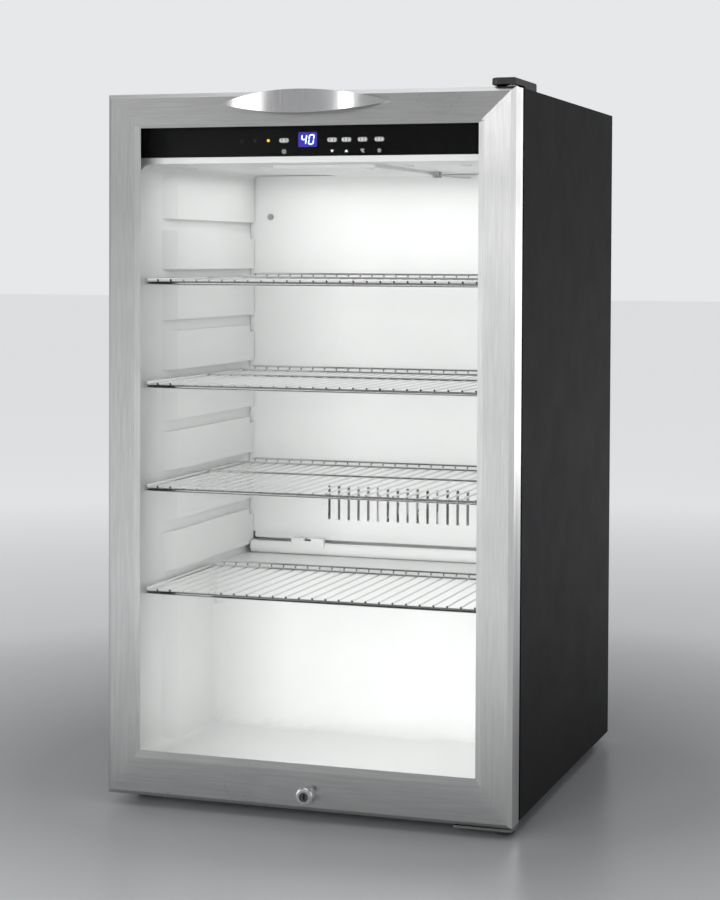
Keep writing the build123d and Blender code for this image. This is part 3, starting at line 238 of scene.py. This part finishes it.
def make_materials():
    """One material for each of the record's slots, and one for the upright frame members."""
    steel = (0.60, 0.60, 0.595)
    white = (0.86, 0.865, 0.86)
    return {
        "stainless": brushed("stainless", steel, "X", 0.26, 0.36, 0.5).grain_direction("Z"),
        "stainless_upright": brushed("stainless_upright", steel, "Z", 0.26, 0.36, 0.5).grain_direction("X"),
        "polished_steel": brushed("polished_steel", (0.72, 0.72, 0.72), "Z", 0.16, 0.24),
        "chrome": brushed("chrome", (0.74, 0.74, 0.74), "Z", 0.08, 0.16),
        "chrome_wire": brushed("chrome_wire", (0.80, 0.80, 0.80), "X", 0.10, 0.20),
        # silver_button: a faint white emission on the button caps, a painted glow.
        "silver_button": plastic(
            "silver_button", (0.86, 0.86, 0.86), 0.25, 0.35, 900, 0.00001, Metallic=0.3,
            Emission_Color=(0.8, 0.8, 0.8, 1.0), Emission_Strength=0.05,
        ),
        "galvanised_steel": brushed("galvanised_steel", (0.42, 0.43, 0.44), "X", 0.35, 0.6),
        "zinc_plate": brushed("zinc_plate", (0.30, 0.30, 0.295), "Y", 0.28, 0.42),
        "zinc_screw": brushed("zinc_screw", (0.55, 0.55, 0.54), "Z", 0.25, 0.4),
        "lock_core": brushed("lock_core", (0.16, 0.16, 0.16), "Z", 0.3, 0.5),
        "grey_metal": brushed("grey_metal", (0.62, 0.62, 0.62), "Y", 0.3, 0.45),
        "copper": brushed("copper", (0.72, 0.40, 0.26), "Z", 0.25, 0.45),
        "spacer_aluminium": brushed("spacer_aluminium", (0.66, 0.67, 0.68), "Z", 0.3, 0.45),
        "black_paint": plastic(
            "black_paint", (0.011, 0.011, 0.012), 0.48, 0.52, 700, 0.00010, Specular_IOR_Level=0.06
        ),
        "compressor_black": plastic("compressor_black", (0.012, 0.012, 0.013), 0.2, 0.4, 160, 0.0002),
        "white_liner": plastic("white_liner", white, 0.28, 0.4, 260, 0.00012),
        "white_plastic": plastic("white_plastic", white, 0.32, 0.45, 520, 0.00006),
        "lamp_lens": plastic("lamp_lens", (0.93, 0.93, 0.91), 0.3, 0.4, 900, 0.0002),
        "foam": plastic("foam", (0.80, 0.72, 0.46), 0.8, 0.95, 240, 0.0008),
        "gasket_rubber": plastic("gasket_rubber", (0.055, 0.055, 0.055), 0.5, 0.65, 420, 0.0001),
        "rubber": plastic("rubber", (0.02, 0.02, 0.02), 0.6, 0.8, 420, 0.0002),
        "black_plastic": plastic("black_plastic", (0.016, 0.016, 0.017), 0.35, 0.5, 800, 0.0001),
        "foot_plastic": plastic("foot_plastic", (0.014, 0.014, 0.014), 0.4, 0.6, 700, 0.0001),
        "fascia_black": plastic(
            "fascia_black", (0.003, 0.003, 0.0033), 0.12, 0.2, 90, 0.00002, Specular_IOR_Level=0.2
        ),
        "display_blue": plastic(
            "display_blue", (0.05, 0.03, 0.30), 0.12, 0.2, 90, 0.00001,
            Emission_Color=(0.05, 0.03, 0.55, 1.0), Emission_Strength=0.35,
        ),
        "circuit_board": plastic("circuit_board", (0.02, 0.16, 0.06), 0.3, 0.5, 300, 0.0001),
        "clear_glass": glazing(),
        "led_amber": status_lights(),
    }


MATERIALS = make_materials()


def dress_cad_nodes():
    """Every CAD node that stays on show gets its slot's node material."""
    for name, node in NODES.items():
        slot = "stainless_upright" if name == "door_stiles" else SLOT_OF[name]
        for place in node.material_slots:
            place.material = MATERIALS[slot].data


# ------------------------------------------------------------------ mesh pieces

def add_piece(name, mesh, body, material):
    """A finished mesh as a named piece that rides on one body."""
    piece = bpy.data.objects.new(name, mesh)
    bpy.context.scene.collection.objects.link(piece)
    piece.data.materials.append(material.data)
    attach(piece, body)
    return piece


def mesh_of(bm, name, smooth_angle=None):
    bmesh.ops.recalc_face_normals(bm, faces=bm.faces)
    mesh = bpy.data.meshes.new(name)
    bm.to_mesh(mesh)
    bm.free()
    if smooth_angle is not None:
        mesh.polygons.foreach_set("use_smooth", [True] * len(mesh.polygons))
        mesh.set_sharp_from_angle(angle=smooth_angle)
    return mesh


def sweep_profile(bm, rings):
    """Closed skin over rings of points, with a cap at each end."""
    made = [[bm.verts.new(p) for p in ring] for ring in rings]
    count = len(made[0])
    for near, far in zip(made, made[1:]):
        for i in range(count):
            j = (i + 1) % count
            bm.faces.new((near[i], near[j], far[j], far[i]))
    bm.faces.new(made[0])
    bm.faces.new(list(reversed(made[-1])))


def cove(name, start, end, side_a, side_b, radius, steps=10, stations=2, wave=None):
    """Concave fillet strip in the corner between two walls, from start to end."""
    start, end, side_a, side_b = (Vector(v) for v in (start, end, side_a, side_b))
    rings = []
    for s in range(stations):
        share = s / (stations - 1)
        corner = start.lerp(end, share)
        reach = radius * (wave(share) if wave else 1.0)
        centre = corner + (side_a + side_b) * reach
        ring = []
        for i in range(steps + 1):
            angle = math.pi / 2 * i / steps
            ring.append(centre - (side_b * math.cos(angle) + side_a * math.sin(angle)) * reach)
        ring.append(corner - (side_a + side_b) * 0.2 * MM)
        rings.append(ring)
    bm = bmesh.new()
    sweep_profile(bm, rings)
    return add_piece(
        name, mesh_of(bm, name, math.radians(40)), "cabinet", MATERIALS["white_liner"]
    )


def flat_prism(bm, points, y_front, y_back):
    """Outline in X and Z, made solid between two Y values."""
    sweep_profile(bm, [[(x, y_front, z) for x, z in points], [(x, y_back, z) for x, z in points]])


def pointed_bar(x0, z0, x1, z1, half):
    """Outline of a bar between two points, with pointed ends as a display segment has."""
    along = Vector((x1 - x0, z1 - z0)).normalized() * half
    across = Vector((-along.y, along.x))
    a, b = Vector((x0, z0)), Vector((x1, z1))
    return [a, a + along + across, b - along + across, b, b - along - across, a + along - across]


# Faces of the liner's cavity, read off the liner and the nodes beside it.
LINER_LOW, LINER_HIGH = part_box("inner_liner")
WALL_X = LINER_HIGH.x - SKIN
PAD_X = WALL_X - PAD_RISE
FLOOR_Z = LINER_LOW.z + SKIN
CEILING_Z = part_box("ceiling_lamp_housing")[1].z + CEILING_GAP
FRONT_Y = LINER_LOW.y
DRAIN_HOSE_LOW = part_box("drain_trough")[0].z
COVER_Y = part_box("evaporator_cover")[0].y


def ripple(share):
    """Uneven reach of the moulded fold at the foot of the step."""
    slow = noise.noise(Vector((share * 9, 0.3, 0.7)))
    fast = noise.noise(Vector((share * 31, 4.1, 0.2)))
    return 1.0 + SLOW_RIPPLE * slow + FAST_RIPPLE * fast


def make_liner_coves():
    """Rounded inner corners of the vacuum-formed liner."""
    for tag, side in (("left", -1), ("right", 1)):
        inward = (-side, 0, 0)
        wall, pad = side * WALL_X, side * PAD_X
        start_y = FRONT_Y + COVE_START
        cove(f"liner_ceiling_cove_{tag}", (wall, start_y, CEILING_Z), (wall, COVER_Y, CEILING_Z),
             inward, (0, 0, -1), CEILING_COVE)
        cove(f"liner_floor_cove_{tag}", (wall, start_y, FLOOR_Z), (wall, HUMP_Y, FLOOR_Z),
             inward, (0, 0, 1), FLOOR_COVE)
        cove(f"liner_step_cove_{tag}", (pad, HUMP_Y, FLOOR_Z), (pad, HUMP_Y, DRAIN_HOSE_LOW - STEP_COVE_DROP),
             inward, (0, -1, 0), STEP_COVE)
    cove("liner_floor_fold", (-PAD_X, HUMP_Y, FLOOR_Z), (PAD_X, HUMP_Y, FLOOR_Z),
         (0, 0, 1), (0, -1, 0), FOLD_REACH, steps=12, stations=FOLD_STATIONS, wave=ripple)


def make_display_digits():
    """Two slanted seven-segment digits, 4 and 0, on the display window."""
    low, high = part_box("display_window")
    centre_x, centre_z = (low.x + high.x) / 2, (low.z + high.z) / 2
    width, height, half, slant = 5.6 * MM, 10.6 * MM, 0.62 * MM, math.tan(math.radians(8))
    gap = 0.25 * MM
    spans = {
        "a": (0, 2, 1, 2), "b": (1, 2, 1, 1), "c": (1, 1, 1, 0), "d": (0, 0, 1, 0),
        "e": (0, 1, 0, 0), "f": (0, 2, 0, 1), "g": (0, 1, 1, 1),
    }
    glow = Material("digit_glow", (0.5, 0.7, 0.9), 0.3, Emission_Strength=2.2)
    glow.shader.inputs["Emission Color"].default_value = (0.62, 0.86, 1.0, 1.0)
    glow.vary_roughness(glow.noise((500, 500, 500)), 0.25, 0.4)
    for name, lit, offset in (("digit_four", "bcfg", -4.6 * MM), ("digit_zero", "abcdef", 4.6 * MM)):
        bm = bmesh.new()
        for segment in lit:
            x0, z0, x1, z1 = spans[segment]
            ax, az = (x0 - 0.5) * width, (z0 - 1) * height / 2
            bx, bz = (x1 - 0.5) * width, (z1 - 1) * height / 2
            step = Vector((bx - ax, bz - az)).normalized() * gap
            outline = [
                (centre_x + offset + p.x + p.y * slant, centre_z + p.y)
                for p in pointed_bar(ax + step.x, az + step.y, bx - step.x, bz - step.y, half)
            ]
            flat_prism(bm, outline, low.y - 0.15 * MM, low.y + 0.05 * MM)
        add_piece(name, mesh_of(bm, name), "cabinet", glow)


def ring_outline(bm, x, z, radius, width, y_front, y_back, start=0.0, end=360.0, steps=28):
    """Flat ring, or part of one, around a point."""
    whole = end - start >= 360.0
    angles = [math.radians(start + (end - start) * i / steps) for i in range(steps + (0 if whole else 1))]
    inner = radius - width
    section = ((radius, y_front), (inner, y_front), (inner, y_back), (radius, y_back))
    quads = []
    for angle in angles:
        c, s = math.cos(angle), math.sin(angle)
        quads.append([bm.verts.new((x + c * r, y, z + s * r)) for r, y in section])
    pairs = list(zip(quads, quads[1:] + (quads[:1] if whole else [])))
    for near, far in pairs:
        for i in range(4):
            j = (i + 1) % 4
            bm.faces.new((near[i], near[j], far[j], far[i]))
    if not whole:
        bm.faces.new(quads[0])
        bm.faces.new(list(reversed(quads[-1])))


def box_centre(name):
    """Middle of a node's box."""
    low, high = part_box(name)
    return (low + high) / 2


def make_button_symbols():
    """Small white symbols printed under the buttons: lamp, down, up, degree and power, their ink with a faint
    painted glow.
    """
    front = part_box("control_fascia")[0].y
    back = front + INK_SINK
    y0 = front - INK_RISE
    # Painted glow: the printed ink emits faint white light.
    painted_glow_ink = plastic(
        "symbol_painted_glow_ink", (0.88, 0.88, 0.88), 0.4, 0.55, 900, 0.00001,
        Emission_Color=(1.0, 1.0, 1.0, 1.0), Emission_Strength=0.45,
    )
    centres = [box_centre(f"control_button_{i}") for i in BUTTONS]
    z = centres[0].z - SYMBOL_DROP
    drawn = {name: bmesh.new() for name in ("lamp", "down", "up", "degree", "power")}
    x = centres[0].x
    ring_outline(drawn["lamp"], x, z, 1.7 * MM, 0.45 * MM, y0, back)
    for turn in range(8):
        angle = math.radians(45 * turn)
        c, s = math.cos(angle), math.sin(angle)
        bar = pointed_bar(x + c * 2.1 * MM, z + s * 2.1 * MM, x + c * 3.1 * MM, z + s * 3.1 * MM, 0.2 * MM)
        flat_prism(drawn["lamp"], bar, y0, back)
    for name, centre, sign in (("down", centres[1], -1), ("up", centres[2], 1)):
        tip = [(centre.x - 2.2 * MM, z - sign * 1.4 * MM), (centre.x + 2.2 * MM, z - sign * 1.4 * MM),
               (centre.x, z + sign * 1.8 * MM)]
        flat_prism(drawn[name], tip, y0, back)
    x = centres[3].x
    ring_outline(drawn["degree"], x - 1.4 * MM, z + 1.1 * MM, 0.95 * MM, 0.4 * MM, y0, back)
    ring_outline(drawn["degree"], x + 1.2 * MM, z, 1.9 * MM, 0.5 * MM, y0, back, 50, 310)
    x = centres[4].x
    ring_outline(drawn["power"], x, z, 1.9 * MM, 0.45 * MM, y0, back, 125, 415)
    flat_prism(drawn["power"], pointed_bar(x, z + 0.2 * MM, x, z + 2.5 * MM, 0.24 * MM), y0, back)
    for name, bm in drawn.items():
        add_piece(f"symbol_{name}", mesh_of(bm, name), "cabinet", painted_glow_ink)


def make_button_marks():
    """Dark bars that split each button's oval cap in three, painted shade between the cap's highlights."""
    # Painted shade: dark bars where the shade falls between the highlights on each button cap.
    painted_shade = plastic("button_groove", (0.03, 0.03, 0.03), 0.4, 0.6, 900, 0.00001)
    offset, reach, half = 2.1 * MM, 1.9 * MM, 0.35 * MM
    for i in BUTTONS:
        face_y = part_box(f"control_button_{i}")[0].y
        centre = box_centre(f"control_button_{i}")
        bm = bmesh.new()
        for x in (centre.x - offset, centre.x + offset):
            bar = pointed_bar(x, centre.z - reach, x, centre.z + reach, half)
            flat_prism(bm, bar, face_y - 0.02 * MM, face_y + 0.5 * MM)
        add_piece(f"button_groove_{i}", mesh_of(bm, "painted_shade_bar"), f"button_{i}", painted_shade)


def make_hinge_boot():
    """Black rounded boot under the lower hinge plate, over the end of its pin."""
    name = "lower_hinge_boot"
    low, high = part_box("lower_hinge_plate")
    hinge = next(j for j in frame["record"]["behaviour"]["joints"] if j["name"] == "door_hinge")
    x, y = high.x - BOOT_RADIUS, hinge["pos_m"][1]
    bottom, top = low.z - BOOT_DROP, low.z + BOOT_RISE
    profile = [(BOOT_RADIUS, top), (BOOT_RADIUS, bottom + BOOT_ROUNDING)]
    arc_steps, sides = 6, 48
    for i in range(1, arc_steps + 1):
        angle = math.pi / 2 * i / arc_steps
        reach = BOOT_RADIUS - BOOT_ROUNDING * (1 - math.cos(angle))
        profile.append((reach, bottom + BOOT_ROUNDING * (1 - math.sin(angle))))
    around = [2 * math.pi * i / sides for i in range(sides)]
    bm = bmesh.new()
    sweep_profile(bm, [[(x + r * math.cos(a), y + r * math.sin(a), z) for a in around] for r, z in profile])
    mesh = mesh_of(bm, name, math.radians(40))
    add_piece(name, mesh, "cabinet", MATERIALS["black_plastic"])


# ------------------------------------------------------------------ stage and light

def make_floor():
    """Pale floor that reaches past every view, greyer near the object as painted shade, and self-lit far away
    as a painted glow.
    """
    reach = 30.0
    bm = bmesh.new()
    bm.faces.new([bm.verts.new((x * reach, y * reach, 0)) for x, y in ((-1, -1), (1, -1), (1, 1), (-1, 1))])
    floor = bpy.data.objects.new("floor", mesh_of(bm, "floor"))
    bpy.context.scene.collection.objects.link(floor)
    cover = Material(
        "floor_painted_shade_and_glow", FLOOR_NEAR_PAINTED_SHADE, 0.3,
        Specular_IOR_Level=0.4, Emission_Color=(0.97, 0.98, 1.0, 1.0),
    )
    cover.vary_roughness(cover.noise((3, 3, 3)), 0.295, 0.305)
    distance = cover.tree.nodes.new("ShaderNodeVectorMath")
    distance.operation = "LENGTH"
    cover.link(cover.place.outputs["Object"], distance.inputs[0])
    from_centre = distance.outputs["Value"]
    # Painted shade: the floor's colour runs darker towards the object.
    painted_shade_fade = cover.spread(from_centre, 0.0, 1.0, *FLOOR_SHADE_FADE)
    # Painted glow: the floor emits light far from the object.
    glow = cover.spread(from_centre, 0.0, FLOOR_PAINTED_GLOW, *FLOOR_PAINTED_GLOW_REACH)
    mixed = cover.mix_colours(painted_shade_fade, FLOOR_NEAR_PAINTED_SHADE, FLOOR_FAR)
    cover.link(glow, cover.shader.inputs["Emission Strength"])
    cover.link(mixed, cover.shader.inputs["Base Color"])
    floor.data.materials.append(cover.data)


def make_world():
    """Even grey-white surroundings, brighter as a backdrop than as a light."""
    world = bpy.data.worlds.new("studio")
    bpy.context.scene.world = world
    world.use_nodes = True
    sky = world.node_tree.nodes["Background"]
    sky.inputs["Color"].default_value = (0.80, 0.805, 0.82, 1.0)
    path = world.node_tree.nodes.new("ShaderNodeLightPath")
    level = world.node_tree.nodes.new("ShaderNodeMapRange")
    level.inputs["To Min"].default_value = WORLD_LIGHT
    level.inputs["To Max"].default_value = WORLD_BACKDROP
    world.node_tree.links.new(path.outputs["Is Camera Ray"], level.inputs["Value"])
    world.node_tree.links.new(level.outputs["Result"], sky.inputs["Strength"])


def add_light(name, place, target, size, power, seen=True):
    """Rectangular soft light aimed at a point, seen in reflections or not."""
    data = bpy.data.lights.new(name, "AREA")
    data.shape = "RECTANGLE"
    data.size, data.size_y = size
    data.energy = power
    light = bpy.data.objects.new(name, data)
    bpy.context.scene.collection.objects.link(light)
    light.location = place
    light.rotation_mode = "QUATERNION"
    light.rotation_quaternion = (Vector(target) - Vector(place)).to_track_quat("-Z", "Y")
    light.visible_camera = False
    light.visible_glossy = seen
    return light


def light_only(light, nodes):
    """The light falls on these CAD nodes and on nothing else."""
    lit = bpy.data.collections.new(light.name + "_lit")
    for name in nodes:
        lit.objects.link(NODES[name])
    light.light_linking.receiver_collection = lit


def make_room_lights():
    """Soft boxes around the object: left, right, above and in front."""
    add_light("key_left", place=(-2.9, -2.1, 1.0), target=(0, 0, 0.45), size=(1.5, 1.9), power=15)
    add_light("fill_right", place=(2.4, -0.6, 1.2), target=(0, 0, 0.5), size=(0.8, 1.6), power=5)
    add_light("top", place=(0, -0.6, 2.6), target=(0, 0, 0.4), size=(1.8, 1.8), power=10)
    add_light("front", place=(-0.3, -3.0, 0.7), target=(0, 0, 0.42), size=(1.5, 1.5), power=54, seen=False)


def make_metal_lights():
    """Lights for single metal parts: the door's right edge, its stiles and the handle."""
    rim = add_light("rim_right", place=(1.15, 2.9, 0.95), target=(0.25, -0.2, 0.5), size=(0.9, 1.8), power=11)
    light_only(rim, ("door_stiles", "top_hinge_plate", "lower_hinge_plate", "door_handle"))
    glint = add_light(
        "glint_top", place=(-0.55, -3.2, 1.22), target=(0.23, -0.25, 0.78), size=(0.5, 0.5), power=4
    )
    light_only(glint, ("door_stiles",))
    handle_glint = add_light(
        "glint_handle", place=(0.62, -2.9, 1.0), target=(0.06, -0.27, 0.83), size=(0.22, 0.8), power=3.2
    )
    light_only(handle_glint, ("door_handle",))
    for light in (glint, handle_glint):
        light.visible_diffuse = False


def make_cavity_lights():
    """Light inside the liner: under the ceiling, and from just behind the door."""
    middle_y = (FRONT_Y + COVER_Y) / 2
    lamp_drop, door_gap = 8 * MM, 12 * MM
    add_light(
        "cavity_lamp", place=(0, middle_y, CEILING_Z - lamp_drop), target=(0, middle_y, 0),
        size=(0.40, 0.30), power=0.52, seen=False,
    )
    add_light(
        "cavity_front", place=(0.03, FRONT_Y + door_gap, 0.30), target=(0.02, COVER_Y, 0.26),
        size=(0.34, 0.46), power=0.55, seen=False,
    )


# ------------------------------------------------------------------ camera

def make_camera():
    """Camera at the photograph's angle."""
    data = bpy.data.cameras.new("camera")
    data.sensor_width = 36.0
    data.lens = CAMERA_LENS
    data.shift_y = CAMERA_SHIFT_Y
    camera = bpy.data.objects.new("camera", data)
    bpy.context.scene.collection.objects.link(camera)
    camera.location = CAMERA_PLACE
    turn, tilt, roll = (math.radians(angle) for angle in (CAMERA_TURN, CAMERA_TILT, CAMERA_ROLL))
    camera.rotation_mode = "XYZ"
    level = Euler((math.pi / 2 - tilt, 0, turn), "XYZ").to_matrix()
    camera.rotation_euler = (level @ Euler((0, 0, roll), "XYZ").to_matrix()).to_euler("XYZ")
    bpy.context.scene.camera = camera
    bpy.context.scene.view_settings.view_transform = "Standard"


dress_cad_nodes()
make_liner_coves()
make_display_digits()
make_button_symbols()
make_button_marks()
make_hinge_boot()
make_floor()
make_world()
make_room_lights()
make_metal_lights()
make_cavity_lights()
make_camera()
